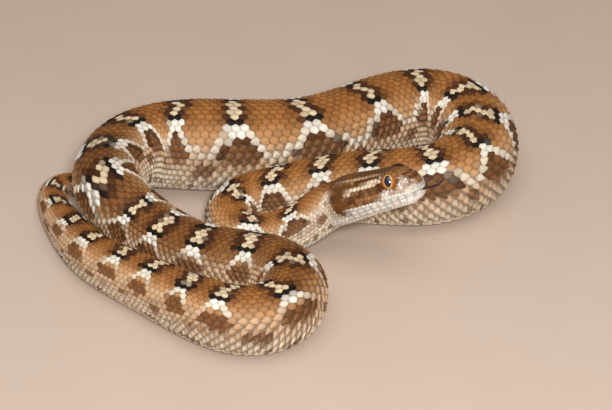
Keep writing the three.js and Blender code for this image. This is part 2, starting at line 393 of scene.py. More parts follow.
# Crossbar: dark edges, black patches at its ends, cream middle
edge_dark = w.step(4.2, 2.8, off) * w.step(28, 22, down)
color = w.tint(edge_dark * 0.9, color, paint("3c1f0c"))
ragged = w.size_of(down - 22) * 0.12 + lot_b * 0.8
patch_dark = w.inside(down, PATCH_MIDDLE, 5.8, 0.8) * w.step(3.7, 3.2, off + ragged)
color = w.tint(patch_dark * 0.98, color, paint("160d07"))
cross = w.step(1.6, 1.2, off) * w.step(18.5, 16, down - lot_b * 3)
color = w.tint(cross, color, paint("d3bc9a"))

# Cream belly with small dark marks along its edge
rim_spot = w.inside(down, BELLY_EDGE, 9, 3) * w.step(0.68, 0.74, w.lot(tone, 8.0))
color = w.tint(w.step(BELLY_EDGE + 2, BELLY_EDGE + 10, down), color, paint("ddcfbb"))
color = w.tint(rim_spot * 0.85, color, paint("5f4029"))
w.feed(give["Color"], w.shaded(color, 0.8 + tone * 0.36))

# The head's own markings, from how far forward and how high a place is.
face_group, w, take, give = group(
    "viper_face",
    {"Ahead": 12.0, "Rise": 0.0, "Round": 90.0, "Tone": 0.5},
    {"Color": tuple, "Part": float},
)
ahead, rise, tone = take["Ahead"], take["Rise"], take["Tone"]
down = w.size_of(take["Round"])
streak_row = w.math("FLOOR", rise * 1.9)
streak_line = w.lot(streak_row, w.math("FLOOR", ahead * 0.22 + streak_row * 0.37))
behind = w.most((HEAD_LENGTH - ahead) / MOUTH_LENGTH, 0.0)
lip = w.math("POWER", behind, LIP_BEND) * (LIP_TIP_DROP - LIP_CORNER_DROP) - LIP_TIP_DROP
over = rise - lip
lot_c = w.lot(tone, 9.0)

# Brown crown and temples with darker streaks
color = w.tint(w.step(0.25, 0.75, lot_c * 0.45 + streak_line * 0.55), paint("552f14"), paint("966638"))
crown = w.step(5.6, 6.4, rise)
color = w.tint(crown * 0.65, color, paint("653c1c"))
rim_line = w.inside(rise, 6.15, 0.22, 0.3) * w.inside(ahead, 11.5, 7.5, 2.0)
color = w.tint(rim_line * 0.55, color, paint("cfb491"))

# Pale stripe behind the eye over a dark band
stripe_level = 3.7 + (ahead - 7.6) * 0.13
stripe = w.inside(rise, stripe_level, 0.55, 0.5) * w.inside(ahead, 12.6, 5.4, 1.5)
color = w.tint(stripe * 0.92, color, paint("e2cfb2"))
rounded = ahead - (rise - 2.6) * (rise - 2.6) * 0.13 + (tone - 0.5) * 0.8
rear_patch = w.inside(rounded, 5.2, 2.1, 1.4) * w.inside(rise, 2.6, 3.3, 1.2)
color = w.tint(rear_patch * 0.75, color, paint("653e1f"))
band = w.inside(rise, stripe_level - 1.9, 1.1, 0.8) * w.inside(ahead, 12.6, 5.6, 1.6)
streak = w.step(0.35, 0.7, w.lot(tone, 12.0) * 0.5 + streak_line * 0.5)
color = w.tint(band * (0.3 + streak * 0.68), color, paint("47260f"))
upper_band = w.inside(rise, stripe_level + 1.0, 0.6, 0.5) * w.inside(ahead, 13.6, 5.6, 1.6)
color = w.tint(upper_band * (0.2 + streak * 0.65), color, paint("5f3a1c"))

# Greyish white snout with pinkish brown patches, brown on top
snout = w.step(20.2, 22.0, ahead + (3.4 - rise) * 0.35)
pale = w.tint(w.step(0.25, 0.75, lot_c), paint("ad9886"), paint("d9d0c5"))
snout = snout * w.step(30, 44, down + (lot_c - 0.5) * 8)
color = w.tint(snout * 0.9, color, pale)
pink = w.step(0.55, 0.8, w.lot(tone, 21.0)) * snout * w.step(4.2, 2.6, rise)
color = w.tint(pink * 0.55, color, paint("9c6a55"))
cheek = w.inside(ahead, 19.2, 1.6, 1.2) * w.inside(rise, 0.9, 0.9, 0.8)
color = w.tint(cheek * 0.9, color, paint("ded6ca"))
loreal = w.inside(ahead, 20.6, 1.0, 0.8) * w.inside(rise, 0.5, 0.7, 0.6)
color = w.tint(loreal * 0.7, color, paint("9b6f55"))
fine = w.lot(tone, 31.0)
color = w.tint(w.step(0.78, 0.9, fine) * w.step(16.0, 22.0, ahead) * 0.35, color, paint("8a6a52"))

# White lips and cream throat with oblique flecks; the throat is made paler than the lips as painted light
# bounced up from the floor.
white = w.step(2.3, 1.5, over) * w.step(5.5, 8.0, ahead)
color = w.tint(white * 0.95, color, paint("dad2c6"))
nape = w.step(2.6, 1.4, rounded) * w.step(5.4, 4.0, rise)
color = w.tint(nape * 0.85, color, paint("d8c6ae"))
under = w.step(0.5, -0.3, over)
fleck = w.step(0.8, 0.95, w.lot(tone, 15.0))
# Painted light: the cream underside is brightened to stand in for light bounced up from the floor.
color = w.tint(under, color, w.tint(fleck * 0.3, paint("ece5d9"), paint("b59a7e")))
w.feed(give["Color"], w.shaded(color, 0.78 + tone * 0.4))
w.feed(give["Part"], w.step(-2.0, 2.0, ahead))

# One scale's own drawing: a darker margin, and a keel lightened as a painted highlight.
scale_group, w, take, give = group(
    "scale_drawing",
    {"Color": (0.5, 0.5, 0.5, 1.0), "Length": 0.5, "Across": 0.5, "Margin": 0.5, "Keel": 0.3},
    {"Color": tuple, "Painted_keel_highlight": float},
)
across = w.size_of(take["Across"] - 0.5) * 2
margin = w.most(w.step(0.45, 1.0, across), w.step(0.8, 1.0, take["Length"]))
root = w.step(0.42, 0.2, take["Length"])
color = w.tint(margin * take["Margin"], take["Color"], w.tint(0.74, take["Color"], (0.02, 0.01, 0.005, 1)))
color = w.tint(root * 0.6, color, w.tint(0.7, take["Color"], (0.02, 0.01, 0.005, 1)))
# Painted highlight: the keel's ridge is lightened as if light caught it.
ridge = w.step(0.2, 0.05, across) * w.step(0.25, 0.45, take["Length"])
color = w.tint(ridge * take["Keel"], color, w.tint(1.0, color, (1.7, 1.6, 1.5, 1), "MULTIPLY"))
w.feed(give["Color"], color)
w.feed(give["Painted_keel_highlight"], ridge)

# Fine pores and lines of horn.
grain_group, w, take, give = group("horn_grain", {}, {"Height": float, "Mottle": float})
place = w.nodes.new("ShaderNodeTexCoord").outputs["Object"]
w.feed(give["Height"], w.noise(place, 2600.0))
w.feed(give["Mottle"], w.noise(place, 420.0, 3.0))


def place_group(wires, made, **values):
    node = wires.nodes.new("ShaderNodeGroup")
    node.node_tree = made
    for label, value in values.items():
        wires.feed(node.inputs[label], value)
    return {o.name: Signal(wires, o) for o in node.outputs}


def new_material(name):
    material = bpy.data.materials.new(name)
    material.use_nodes = True
    wires = Wires(material.node_tree)
    shader = next(n for n in wires.nodes if n.type == "BSDF_PRINCIPLED")
    return material, wires, shader


SKIN_GLOSS = 0.16
BARE = (0.05, 0.028, 0.016, 1)


def horny(name, margin, keel, darken, roughness, relief):
    """Scaled skin that carries the markings."""
    material, w, shader = new_material(name)
    tone = w.read("tone")
    turned = w.read("round")
    body = place_group(w, marks_group, Bar=w.read("bar"), Gap=w.read("gap"), Round=turned, Tone=tone)
    face = place_group(w, face_group, Ahead=w.read("ahead"), Rise=w.read("rise"), Round=turned, Tone=tone)
    color = w.tint(face["Part"], body["Color"], face["Color"])
    plate = w.nodes.new("ShaderNodeUVMap")
    plate.uv_map = "Plate"
    split = w.nodes.new("ShaderNodeSeparateXYZ")
    w.feed(split.inputs[0], plate.outputs[0])
    length, across = split.outputs[0], split.outputs[1]
    drawn = place_group(w, scale_group, Color=color, Length=length, Across=across, Margin=margin, Keel=keel)
    grain = place_group(w, grain_group)
    color = w.tint((1 - face["Part"] * 0.55) * darken, drawn["Color"], BARE)
    dulled = w.tint(1.0, color, (0.72, 0.68, 0.64, 1), "MULTIPLY")
    color = w.tint(w.step(0.7, 0.35, grain["Mottle"]) * 0.35, color, dulled)
    w.feed(shader.inputs["Base Color"], color)
    w.feed(shader.inputs["Roughness"], (grain["Mottle"] - 0.5) * 0.2 + roughness)
    shader.inputs["Specular IOR Level"].default_value = SKIN_GLOSS
    bump = w.nodes.new("ShaderNodeBump")
    bump.inputs["Strength"].default_value = relief
    bump.inputs["Distance"].default_value = 0.00006
    w.feed(bump.inputs["Height"], grain["Height"])
    w.feed(shader.inputs["Normal"], bump.outputs[0])
    return material


def mottled(name, scale, dark, light, roughness):
    """A plain surface that wanders between two colours."""
    material, w, shader = new_material(name)
    uneven = w.noise(w.nodes.new("ShaderNodeTexCoord").outputs["Object"], scale)
    w.feed(shader.inputs["Base Color"], w.tint(uneven, paint(dark), paint(light)))
    shader.inputs["Roughness"].default_value = roughness
    return material


# keel sets how strongly each scale's keel is lightened as a painted highlight.
keeled_skin = horny("keeled_scales", margin=0.65, keel=0.22, darken=0.0, roughness=0.56, relief=0.5)
plate_skin = horny("smooth_plates", margin=0.25, keel=0.0, darken=0.0, roughness=0.42, relief=0.2)
bare_skin = horny("skin_between_scales", margin=0.0, keel=0.0, darken=0.62, roughness=0.7, relief=0.6)

# How the coat is laid.
DORSAL_ROWS = 15
HEAD_ROWS = 20
VENTRAL_EDGE = 2.39
EDGE = float(np.interp(VENTRAL_EDGE, ANGLES, ROUND))
BELLY_FROM = -3.0
BELLY_THINNER = 0.8
BELLY_PLATE_LENGTH = 1.35
COAT_DEPTH_SHARE = 0.17
SCALE_LENGTH = 1.6
SCALE_WIDTH = 1.75
EYE_OPEN = 2.05
EYE_RING = 2.95
EYE_FOLD = 3.3
RING_FOOT = 3.2
RING_MIDDLE = 2.8
FLOOR_CLEAR = 0.02
# Flank scales turn towards the belly, in radians, and are narrower and shorter than the back's.
FLANK_ROWS = (6, 14)
LEAN_ROWS = (4.6, 9.2)
LEAN_BEGINS = (8, 30)
FLANK_TURN = 1.08
FLANK_NARROWER = 0.30
FLANK_SHORTER = 0.24
DROPS = {(10, 11): 0.77, (8, 9): 0.85, (6, 7): 0.915, (4, 5): 0.945, (12, 13): 0.965, (2, 3): 0.98}
rng = np.random.default_rng(11)

FLESH = ["head", "neck", *[f"trunk_{i}" for i in range(1, 12)], "tail"]


def head_radius(x):
    t = x / HEAD_LENGTH
    return along(HEAD_HALF_WIDTHS, t) * snout_rounding(t)


def girth_half(g):
    return np.where(g < 0, head_radius(-g), along(HALF_WIDTHS, g / BODY_LENGTH))


def pitch(g):
    """Distance between scales of one row."""
    finer = 0.66 + 0.34 * smooth(-7, 6, g)
    return (0.54 + 0.146 * girth_half(g)) * finer


SNOUT_G = -HEAD_LENGTH + 0.004
profile_g = np.r_[np.linspace(SNOUT_G, -19, 2500), np.linspace(-18.99, BODY_LENGTH - 0.4, 9000)]
widening = np.where(profile_g[1:] < 0, np.diff(girth_half(profile_g)), 0)
profile_s = np.r_[0, np.cumsum(np.hypot(np.diff(profile_g), widening))]
profile_k = np.r_[0, np.cumsum(np.diff(profile_s) / pitch(profile_g[1:]))]
LEVELS = int(profile_k[-1])


def placed(g, around, lift):
    """Point at a lift above the outside."""
    e_g, e_q = 0.15, 0.01
    base = outside(g, around)
    inner = np.maximum(g - e_g, SNOUT_G)
    ahead = outside(g + e_g, around) - outside(inner, around)
    aside = outside(g, around + e_q) - outside(g, around - e_q)
    out = np.cross(aside, ahead)
    out = out / np.maximum(np.linalg.norm(out, axis=-1, keepdims=True), 1e-12)
    out = out * OUT_SIGN
    return base + out * np.asarray(lift)[..., None]


# The sign that makes a lift on the back point up.
OUT_SIGN = 1.0
ON_BACK = (np.array([100.0]), np.array([0.0]))
probe = placed(*ON_BACK, np.array([1.0]))[0] - outside(*ON_BACK)[0]
OUT_SIGN = float(np.sign(probe[2]))


def stretch(g, around):
    """Millimetres of surface for each millimetre along, and for each unit round."""
    e_g, e_q = 0.2, 0.01
    inner = np.maximum(g - e_g, SNOUT_G)
    run = outside(g + e_g, around) - outside(inner, around)
    turn = outside(g, around + e_q) - outside(g, around - e_q)
    lengthwise = np.linalg.norm(run, axis=-1) / (g + e_g - inner)
    crosswise = np.linalg.norm(turn, axis=-1) / (2 * e_q)
    return np.maximum(lengthwise, 0.3), np.maximum(crosswise, 0.3)


# Where the crossbars fall, and how far the markings are turned round the body.
BAR_SPACING = [16, 14.2, 13.2, 16.2, 12.2, 18, 20.6, 17, 12.3, 10.8, 14.6, 13, 12, 12.4, 11.2, 9]
FIRST_BAR = 12.0
MARKS_TURN = [4, 8, -6, -10, 0, 0, -2, 3, 20, 20, -1, 8, 13, 14, 12, 8]
phase_g = np.linspace(-HEAD_LENGTH, BODY_LENGTH, 4000)
phase_of = np.r_[0, np.cumsum(np.diff(phase_g) / along(BAR_SPACING, phase_g[1:] / BODY_LENGTH))]
phase_of = phase_of - np.interp(FIRST_BAR, phase_g, phase_of)


def fields_at(g, around):
    """What the markings need to know at each place."""
    share = g / BODY_LENGTH
    q = (around + 1) % 2 - 1
    degrees = np.degrees(np.interp(q, ROUND, ANGLES)) - along(MARKS_TURN, share) * smooth(-2, 6, g)
    local = head_local(np.maximum(-g, -6), around)
    return {
        "bar": np.interp(g, phase_g, phase_of),
        "gap": along(BAR_SPACING, share),
        "round": degrees,
        "ahead": -g,
        "rise": local[..., 2],
    }


def eye_axes(side):
    look = unit(np.array([0.22, side * 0.93, 0.28]))
    up = unit(np.array([0.0, 0, 1]) - look * look[2])
    return look, up, np.cross(up, look), np.array([EYE_CENTRE[0], side * EYE_CENTRE[1], EYE_CENTRE[2]])


def near_eye(local):
    """Distance from the axis of the nearer eye, and height along it."""
    side = np.where(local[..., 1] < 0, -1.0, 1.0)
    away = np.full(local.shape[:-1], 99.0)
    high = np.zeros(local.shape[:-1])
    for s in (-1.0, 1.0):
        look, _, _, centre = eye_axes(s)
        v = local - centre
        h = v @ look
        r = np.linalg.norm(v - h[..., None] * look, axis=-1)
        here = side == s
        away = np.where(here, r, away)
        high = np.where(here, h, high)
    return away, high


def lip_level(x):
    back = np.clip((HEAD_LENGTH - x) / MOUTH_LENGTH, 0, 1)
    return -(LIP_TIP_DROP + (LIP_CORNER_DROP - LIP_TIP_DROP) * back**LIP_BEND)


def around_at(x, z, side):
    """Place round the head where the outside is at height z."""
    t = x / HEAD_LENGTH
    high = np.where(z > 0, along(HEAD_TOPS, t), along(HEAD_DEPTHS, t)) * snout_rounding(t)
    up = np.clip(z / high, -1, 1)
    below = -np.minimum(np.abs(up) / BELLY_FLAT, 1) ** (BELLY_FULLNESS / 2)
    cosine = np.where(up > 0, np.abs(up) ** (BACK_FULLNESS / 2), below)
    return side * np.interp(np.arccos(np.clip(cosine, -1, 1)), ANGLES, ROUND)


def scale_shape(lengthwise, crosswise, keel, root_width=0.55, tip_width=0.4, widest=0.5):
    """One closed scale: x from root 0 to tip 1, y from -1 to 1, z from 0 at the root to 1 at the tip."""
    bm = bmesh.new()
    bmesh.ops.create_grid(bm, x_segments=lengthwise, y_segments=crosswise, size=0.5)
    top = list(bm.verts)
    rim = [e for e in bm.edges if e.is_boundary]
    skirt = bmesh.ops.extrude_edge_only(bm, edges=rim)["geom"]
    below = [v for v in skirt if isinstance(v, bmesh.types.BMVert)]
    bmesh.ops.contextual_create(bm, geom=[e for e in skirt if isinstance(e, bmesh.types.BMEdge)])
    bmesh.ops.recalc_face_normals(bm, faces=bm.faces)
    low = set(below)
    bm.verts.index_update()
    grid = np.array([v.co for v in bm.verts])
    under = np.array([v in low for v in bm.verts])
    i = grid[:, 0] + 0.5
    j = np.sign(grid[:, 1]) * np.abs(2 * grid[:, 1]) ** 1.5
    rising = root_width + (1 - root_width) * np.sin(math.pi / 2 * np.clip(i / widest, 0, 1))
    beyond = np.clip((i - widest) / (1 - widest), 0, 1)
    falling = tip_width + (1 - tip_width) * np.sqrt(1 - beyond**2.2)
    across = j * np.minimum(rising, falling)
    x = i - 0.17 * across**2 * i**2 / np.maximum(tip_width, 0.4)
    ridge = keel * np.maximum(0, 1 - np.abs(j) / 0.36)
    ridge = ridge * smooth(0.1, 0.35, i) * (1 - 0.35 * smooth(0.85, 1, i))
    camber = -0.42 * np.abs(j) ** 2.0
    height = i + camber + ridge
    height = np.where(under, i * 0.62 + camber - 0.22, height)
    faces = [[v.index for v in f.verts] for f in bm.faces]
    bm.free()
    spots = np.stack([x, np.where(under, across * 0.93, across), height, i, (j + 1) / 2], -1)
    return spots, faces


# The size of a scale on the bake map, and the angle from which an edge is drawn sharp.
PATCH = 0.003
SHARP_FROM = math.radians(35)


class Coat:
    """Gathers many scales into one mesh with its markings and bake map."""

    def __init__(self, name):
        self.name = name
        self.points, self.loops, self.sizes, self.fields, self.plate, self.bake = [], [], [], [], [], []
        self.count = 0

    def take(self, points, spots, faces, fields, tone, patch):
        """points: scales by vertices by 3; fields: one value a scale; patch: bake place of each scale."""
        many, each = points.shape[:2]
        loops = np.concatenate([np.array(f) for f in faces])
        starts = self.count + np.arange(many)[:, None] * each
        self.loops.append((starts + loops[None]).ravel())
        self.sizes.append(np.tile([len(f) for f in faces], many))
        self.points.append(points.reshape(-1, 3))
        values = {k: np.repeat(v, each) for k, v in fields.items()}
        values["tone"] = np.repeat(tone, each)
        self.fields.append(values)
        local = np.tile(spots[None, loops, 3:5], (many, 1, 1))
        self.plate.append(local.reshape(-1, 2))
        self.bake.append((patch[:, None, :] + PATCH * (local - 0.5)).reshape(-1, 2))
        self.count += many * each

    def made(self, material):
        mesh = bpy.data.meshes.new(self.name)
        points, loops, sizes = (np.concatenate(v) for v in (self.points, self.loops, self.sizes))
        points[:, 2] = np.maximum(points[:, 2], FLOOR_CLEAR)
        mesh.vertices.add(len(points))
        mesh.vertices.foreach_set("co", (points * MM).astype(np.float32).ravel())
        mesh.loops.add(len(loops))
        mesh.loops.foreach_set("vertex_index", loops.astype(np.int32))
        mesh.polygons.add(len(sizes))
        mesh.polygons.foreach_set("loop_start", np.r_[0, np.cumsum(sizes)[:-1]].astype(np.int32))
        mesh.polygons.foreach_set("loop_total", sizes.astype(np.int32))
        mesh.update(calc_edges=True)
        for name in self.fields[0]:
            layer = mesh.attributes.new(name, "FLOAT", "POINT")
            layer.data.foreach_set("value", np.concatenate([f[name] for f in self.fields]).astype(np.float32))
        for name, parts in (("Plate", self.plate), ("OFBake", self.bake)):
            layer = mesh.uv_layers.new(name=name, do_init=False)
            layer.data.foreach_set("uv", np.concatenate(parts).astype(np.float32).ravel())
        mesh.polygons.foreach_set("use_smooth", np.ones(len(sizes), bool))
        mesh.set_sharp_from_angle(angle=SHARP_FROM)
        return shown(self.name, mesh, material)


def mesh_of(bm, name):
    """Turns the faces outwards, smooths them and writes the mesh."""
    bmesh.ops.recalc_face_normals(bm, faces=bm.faces)
    for face in bm.faces:
        face.smooth = True
    mesh = bpy.data.meshes.new(name)
    bm.to_mesh(mesh)
    bm.free()
    return mesh


def put(name, data):
    """A new object in the scene."""
    made = bpy.data.objects.new(name, data)
    bpy.context.scene.collection.objects.link(made)
    return made


def shown(name, mesh, material):
    """A visible piece of the animal."""
    mesh.materials.append(material)
    piece = put(name, mesh)
    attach(piece, "root")
    return piece


def bake_place(g, around, low, high):
    """A place on the coat unrolled flat: along from low to high, and round."""
    q = (around + 1) % 2 - 1
    return np.stack([0.02 + 0.96 * (g - low) / (high - low), 0.5 + 0.48 * q], -1)


def lay_scales(coat, g, around, length, width, turn, depth, keel_shape, low, high):
    """Lays one scale at each (g, around), root towards the head."""
    spots, faces = keel_shape
    lengthwise, crosswise = stretch(g, around)
    eased = np.where(lengthwise < 1, np.clip(lengthwise, 0.5, 1), 1 + 0.45 * (lengthwise - 1))
    length = length * eased
    x = (spots[None, :, 0] - 0.4) * length[:, None]
    y = spots[None, :, 1] * width[:, None] / 2
    c, s = np.cos(turn)[:, None], np.sin(turn)[:, None]
    along_g = g[:, None] + (x * c - y * s) / lengthwise[:, None]
    along_g = np.maximum(along_g, SNOUT_G)
    round_q = around[:, None] + (x * s + y * c) / crosswise[:, None]
    lift = (spots[None, :, 2] - 1.0) * depth[:, None]
    points = placed(along_g, round_q, lift)
    tone = rng.random(len(g))
    coat.take(points, spots, faces, fields_at(g, around), tone, bake_place(g, around, low, high))


def row_weights(g):
    """How much of a full row each row is; a dropped row fades to nothing."""
    share = g / BODY_LENGTH
    weights = np.ones((len(g), DORSAL_ROWS + 1))
    for rows, at in DROPS.items():
        for r in rows:
            weights[:, r] = 1 - smooth(at - 0.012, at + 0.012, share)
    return weights


def row_place(row, g):
    """Place round the body of a row's middle, and the row's width as a share of a full one."""
    weights = row_weights(g)
    total = weights[:, 0] + 2 * weights[:, 1:].sum(1)
    r = abs(row)
    if r > DORSAL_ROWS:
        step = 2 * EDGE / total
        return math.copysign(1, row) * (EDGE + (r - DORSAL_ROWS - 0.5) * step), weights[:, 0], step
    inner = np.where(r > 0, weights[:, 0] / 2 + weights[:, 1:r].sum(1) + weights[:, r] / 2, 0)
    return math.copysign(1, row) * inner * 2 * EDGE / total, weights[:, r], 2 * EDGE / total * weights[:, r]


PIECES = [
    ("scales_head", SNOUT_G, 2.0),
    ("scales_neck", 2.0, 60.0),
    ("scales_fore_trunk", 60.0, 140.0),
    ("scales_mid_trunk", 140.0, 220.0),
    ("scales_rear_trunk", 220.0, 300.0),
    ("scales_hind_trunk", 300.0, 370.0),
    ("scales_vent", 370.0, 420.0),
    ("scales_tail", 420.0, BODY_LENGTH),
]
keeled = scale_shape(5, 6, keel=0.42, root_width=0.5, tip_width=0.32)
saw_edged = scale_shape(5, 6, keel=0.62, root_width=0.5, tip_width=0.3, widest=0.45)
small_keeled = scale_shape(4, 4, keel=0.4)

everywhere = []
for row in range(-HEAD_ROWS, HEAD_ROWS + 1):
    k = np.arange(1, LEVELS) + 0.5 * (row % 2)
    g = np.interp(k, profile_k, profile_g)
    q, weight, step = row_place(row, g)
    q = q * np.ones_like(g)
    keep = weight > 0.55
    if abs(row) > DORSAL_ROWS:
        keep = keep & (g < BELLY_FROM)
    everywhere.append(np.stack([g, q, step * np.ones_like(g), np.full_like(g, row)], -1)[keep])
everywhere = np.concatenate(everywhere)
g_all, q_all, step_all, row_all = everywhere.T
on_head = g_all < 0
local = head_local(np.maximum(-g_all, 0), q_all)
eye_away, eye_high = near_eye(local)
lip_height = local[:, 2] - lip_level(-g_all)
lip_reach = 0.62 + 0.5 * (1 - smooth(HEAD_LENGTH - 7, HEAD_LENGTH - 1, -g_all))
in_mouth = on_head & (-g_all > HEAD_LENGTH - MOUTH_LENGTH - 0.6) & (np.abs(lip_height) < lip_reach * 1.15)
at_eye = on_head & (eye_away < EYE_RING) & (eye_high > 0)
at_tip = on_head & (-g_all > HEAD_LENGTH - 0.35)
free = ~(in_mouth | at_eye | at_tip)
on_flank = (np.abs(row_all) >= FLANK_ROWS[0]) & (np.abs(row_all) <= FLANK_ROWS[1]) & (g_all > LEAN_BEGINS[0])
for name, low, high in PIECES:
    coat = Coat(name)
    here = (g_all >= low) & (g_all < high) & free
    for saw, pick in ((True, here & on_flank), (False, here & ~on_flank)):
        if not pick.any():
            continue
        g, q, row = g_all[pick], q_all[pick], row_all[pick]
        depth = COAT_DEPTH_SHARE * pitch(g)
        wide = stretch(g, q)[1] * step_all[pick] * SCALE_WIDTH
        jitter = rng.normal(0, 1, (3, len(g)))
        length = pitch(g) * SCALE_LENGTH * (1 + 0.03 * jitter[0])
        turn = 0.05 * jitter[1]
        if saw:
            lean = smooth(*LEAN_ROWS, np.abs(row)) * smooth(*LEAN_BEGINS, g)
            lean = lean * smooth(BODY_LENGTH * 0.95, BODY_LENGTH * 0.88, g)
            turn = turn + np.sign(q) * FLANK_TURN * lean
            wide = wide * (1 - FLANK_NARROWER * lean)
            length = length * (1 - FLANK_SHORTER * lean)
            shape = saw_edged
        else:
            shape = small_keeled if high <= 2.0 else keeled
        lay_scales(coat, g, q, length, wide * (1 + 0.03 * jitter[2]), turn, depth, shape, low, high)
    coat.made(keeled_skin)

# Belly plates, one across for each row of scales.
belly = Coat("belly_plates")
plate_shape = scale_shape(3, 14, keel=0.0, root_width=1.0, tip_width=0.96, widest=0.5)
k = np.arange(int(np.interp(BELLY_FROM, profile_g, profile_k)) + 1, LEVELS)
g = np.interp(k, profile_k, profile_g)
q = np.ones_like(g)
wide = 2 * (1 - EDGE) * stretch(g, q)[1] * 1.06
straight = np.zeros_like(g)
thin = COAT_DEPTH_SHARE * pitch(g) * BELLY_THINNER
length = pitch(g) * BELLY_PLATE_LENGTH
lay_scales(belly, g, q, length, wide, straight, thin, plate_shape, BELLY_FROM, BODY_LENGTH)
belly.made(plate_skin)

# Lips: a row of plates above and below the line of the mouth, on each side.
LABIALS = 10
MOUTH_GAP = 0.07
lips = Coat("lip_plates")
spots, faces = scale_shape(4, 4, keel=0.0, root_width=0.86, tip_width=0.8, widest=0.5)
for side in (-1, 1):
    for upper in (1, -1):
        edges = np.linspace(HEAD_LENGTH - 0.9, HEAD_LENGTH - MOUTH_LENGTH - 0.6, LABIALS + 1)
        for front, back in zip(edges[:-1], edges[1:]):
            centre_x, long = (front + back) / 2, (front - back) * 1.12
            shorter = 1 - 0.4 * float(smooth(HEAD_LENGTH - 6, HEAD_LENGTH - 1, centre_x))
            tall = (1.15 if upper > 0 else 1.0) * shorter
            x = centre_x - (spots[:, 0] - 0.5) * long
            z = lip_level(x) + upper * (MOUTH_GAP + tall * (0.5 + upper * spots[:, 1] / 2))
            around = around_at(x, z, side)
            dome = 0.10 * (1 - spots[:, 1] ** 2) * (1 - (2 * spots[:, 3] - 1) ** 2)
            is_under = np.abs(spots[:, 2] - (spots[:, 3] * 0.62 - 0.30 * spots[:, 1] ** 2 - 0.22)) < 0.02
            points = placed(-x, around, np.where(is_under, -0.34, -0.09 + dome))
            centre_g = np.array([-centre_x])
            centre_q = around_at(-centre_g, lip_level(centre_x) + upper * tall / 2, side)
            patch = bake_place(centre_g, centre_q, -HEAD_LENGTH, 0)
            lips.take(points[None], spots, faces, fields_at(centre_g, centre_q), rng.random(1), patch)
lips.made(plate_skin)


def one_place(ahead, rise):
    """The markings' values for a single plate on the head."""
    return {"bar": np.zeros(1), "gap": np.full(1, 15.0), "round": np.zeros(1), "ahead": np.full(1, ahead),
            "rise": np.full(1, rise)}


# A ring of small scales round each eye, and a heavier brow over it.
ring = Coat("eye_ring_scales")
RING_SCALES = 15
dense_x, dense_q = np.meshgrid(np.linspace(12, 26, 220), np.linspace(-0.8, 0.8, 641), indexing="ij")
dense = head_local(dense_x, dense_q)
ring_spots, ring_faces = small_keeled
for side in (-1.0, 1.0):
    look, up, fore, centre = eye_axes(side)
    for i in range(RING_SCALES):
        middle = 2 * math.pi * i / RING_SCALES
        brow_share = max(0.0, math.cos(middle)) ** 2
        swing = middle + ring_spots[:, 1] * (math.pi / RING_SCALES) * 1.12
        share = ring_spots[:, 0]
        outer_reach = EYE_FOLD + 0.25 * brow_share
        reach = outer_reach - (outer_reach - EYE_OPEN + 0.1) * share
        direction = up * np.cos(swing)[:, None] + fore * np.sin(swing)[:, None]
        v = dense.reshape(-1, 3) - centre
        heights = v @ look
        flat = v - heights[:, None] * look
        towards = up * math.cos(middle) + fore * math.sin(middle)
        target = towards * RING_FOOT
        nearest = np.argmin(np.linalg.norm(flat - target, axis=1) + np.where(heights > 0, 0, 9))
        outer = heights[nearest] - 0.12
        inner = math.sqrt(EYE_RADIUS**2 - EYE_OPEN**2) + 0.08
        swell = (0.12 + 0.3 * brow_share) * np.sin(math.pi * np.clip(share, 0, 1))
        rise_by = outer + (inner - outer) * share + 0.28 * (ring_spots[:, 2] - share) + swell
        spot = centre + direction * reach[:, None] + look * rise_by[:, None]
        where = centre + towards * RING_MIDDLE + look * outer
        fields = one_place(where[0], where[2])
        g_here = np.array([-where[0]])
        q_here = np.array([side * (0.3 + 0.1 * math.cos(middle))])
        patch = bake_place(g_here, q_here, -HEAD_LENGTH, 0)
        ring.take(in_head(spot)[None], ring_spots, ring_faces, fields, rng.random(1), patch)
ring.made(keeled_skin)

# Plates at the tip of the snout.
front = Coat("snout_plates")
spots, faces = scale_shape(6, 8, keel=0.0, root_width=0.75, tip_width=0.9, widest=0.6)


def snout_front(y, z):
    """How far forward the snout reaches at a place on its front."""
    tall = np.where(z > 0, HEAD_TOPS[-1], HEAD_DEPTHS[-1])
    r = (np.abs(y / HEAD_HALF_WIDTHS[-1]) ** 2.2 + np.abs(z / tall) ** 2.2) ** (1 / 2.2)
    bulge = (1 - np.clip(r, 0, 1) ** SNOUT_FULLNESS) ** (1 / SNOUT_FULLNESS)
    return HEAD_LENGTH * (SNOUT_ROUNDS_FROM + (1 - SNOUT_ROUNDS_FROM) * bulge)


for low_z, high_z, half_y in ((-0.6, 0.7, 1.1), (-1.9, -0.8, 1.1)):
    y = spots[:, 1] * half_y
    z = high_z + (low_z - high_z) * spots[:, 0]
    middle_y = np.clip(1 - (y / half_y) ** 2, 0, 1)
    under_height = spots[:, 3] * 0.62 - 0.30 * np.abs(2 * spots[:, 4] - 1) ** 2 - 0.22
    is_under = np.abs(spots[:, 2] - under_height) < 0.02
    lift = np.where(is_under, -0.35, -0.02 + 0.08 * middle_y)
    local_points = np.stack([snout_front(y, z) + lift, y, z], -1)
    fields = one_place(HEAD_LENGTH - 0.8, (low_z + high_z) / 2)
    patch = bake_place(np.array([-HEAD_LENGTH + 0.3]), np.array([0.1 * high_z]), -HEAD_LENGTH, 0)
    front.take(in_head(local_points)[None], spots, faces, fields, rng.random(1), patch)
front.made(plate_skin)

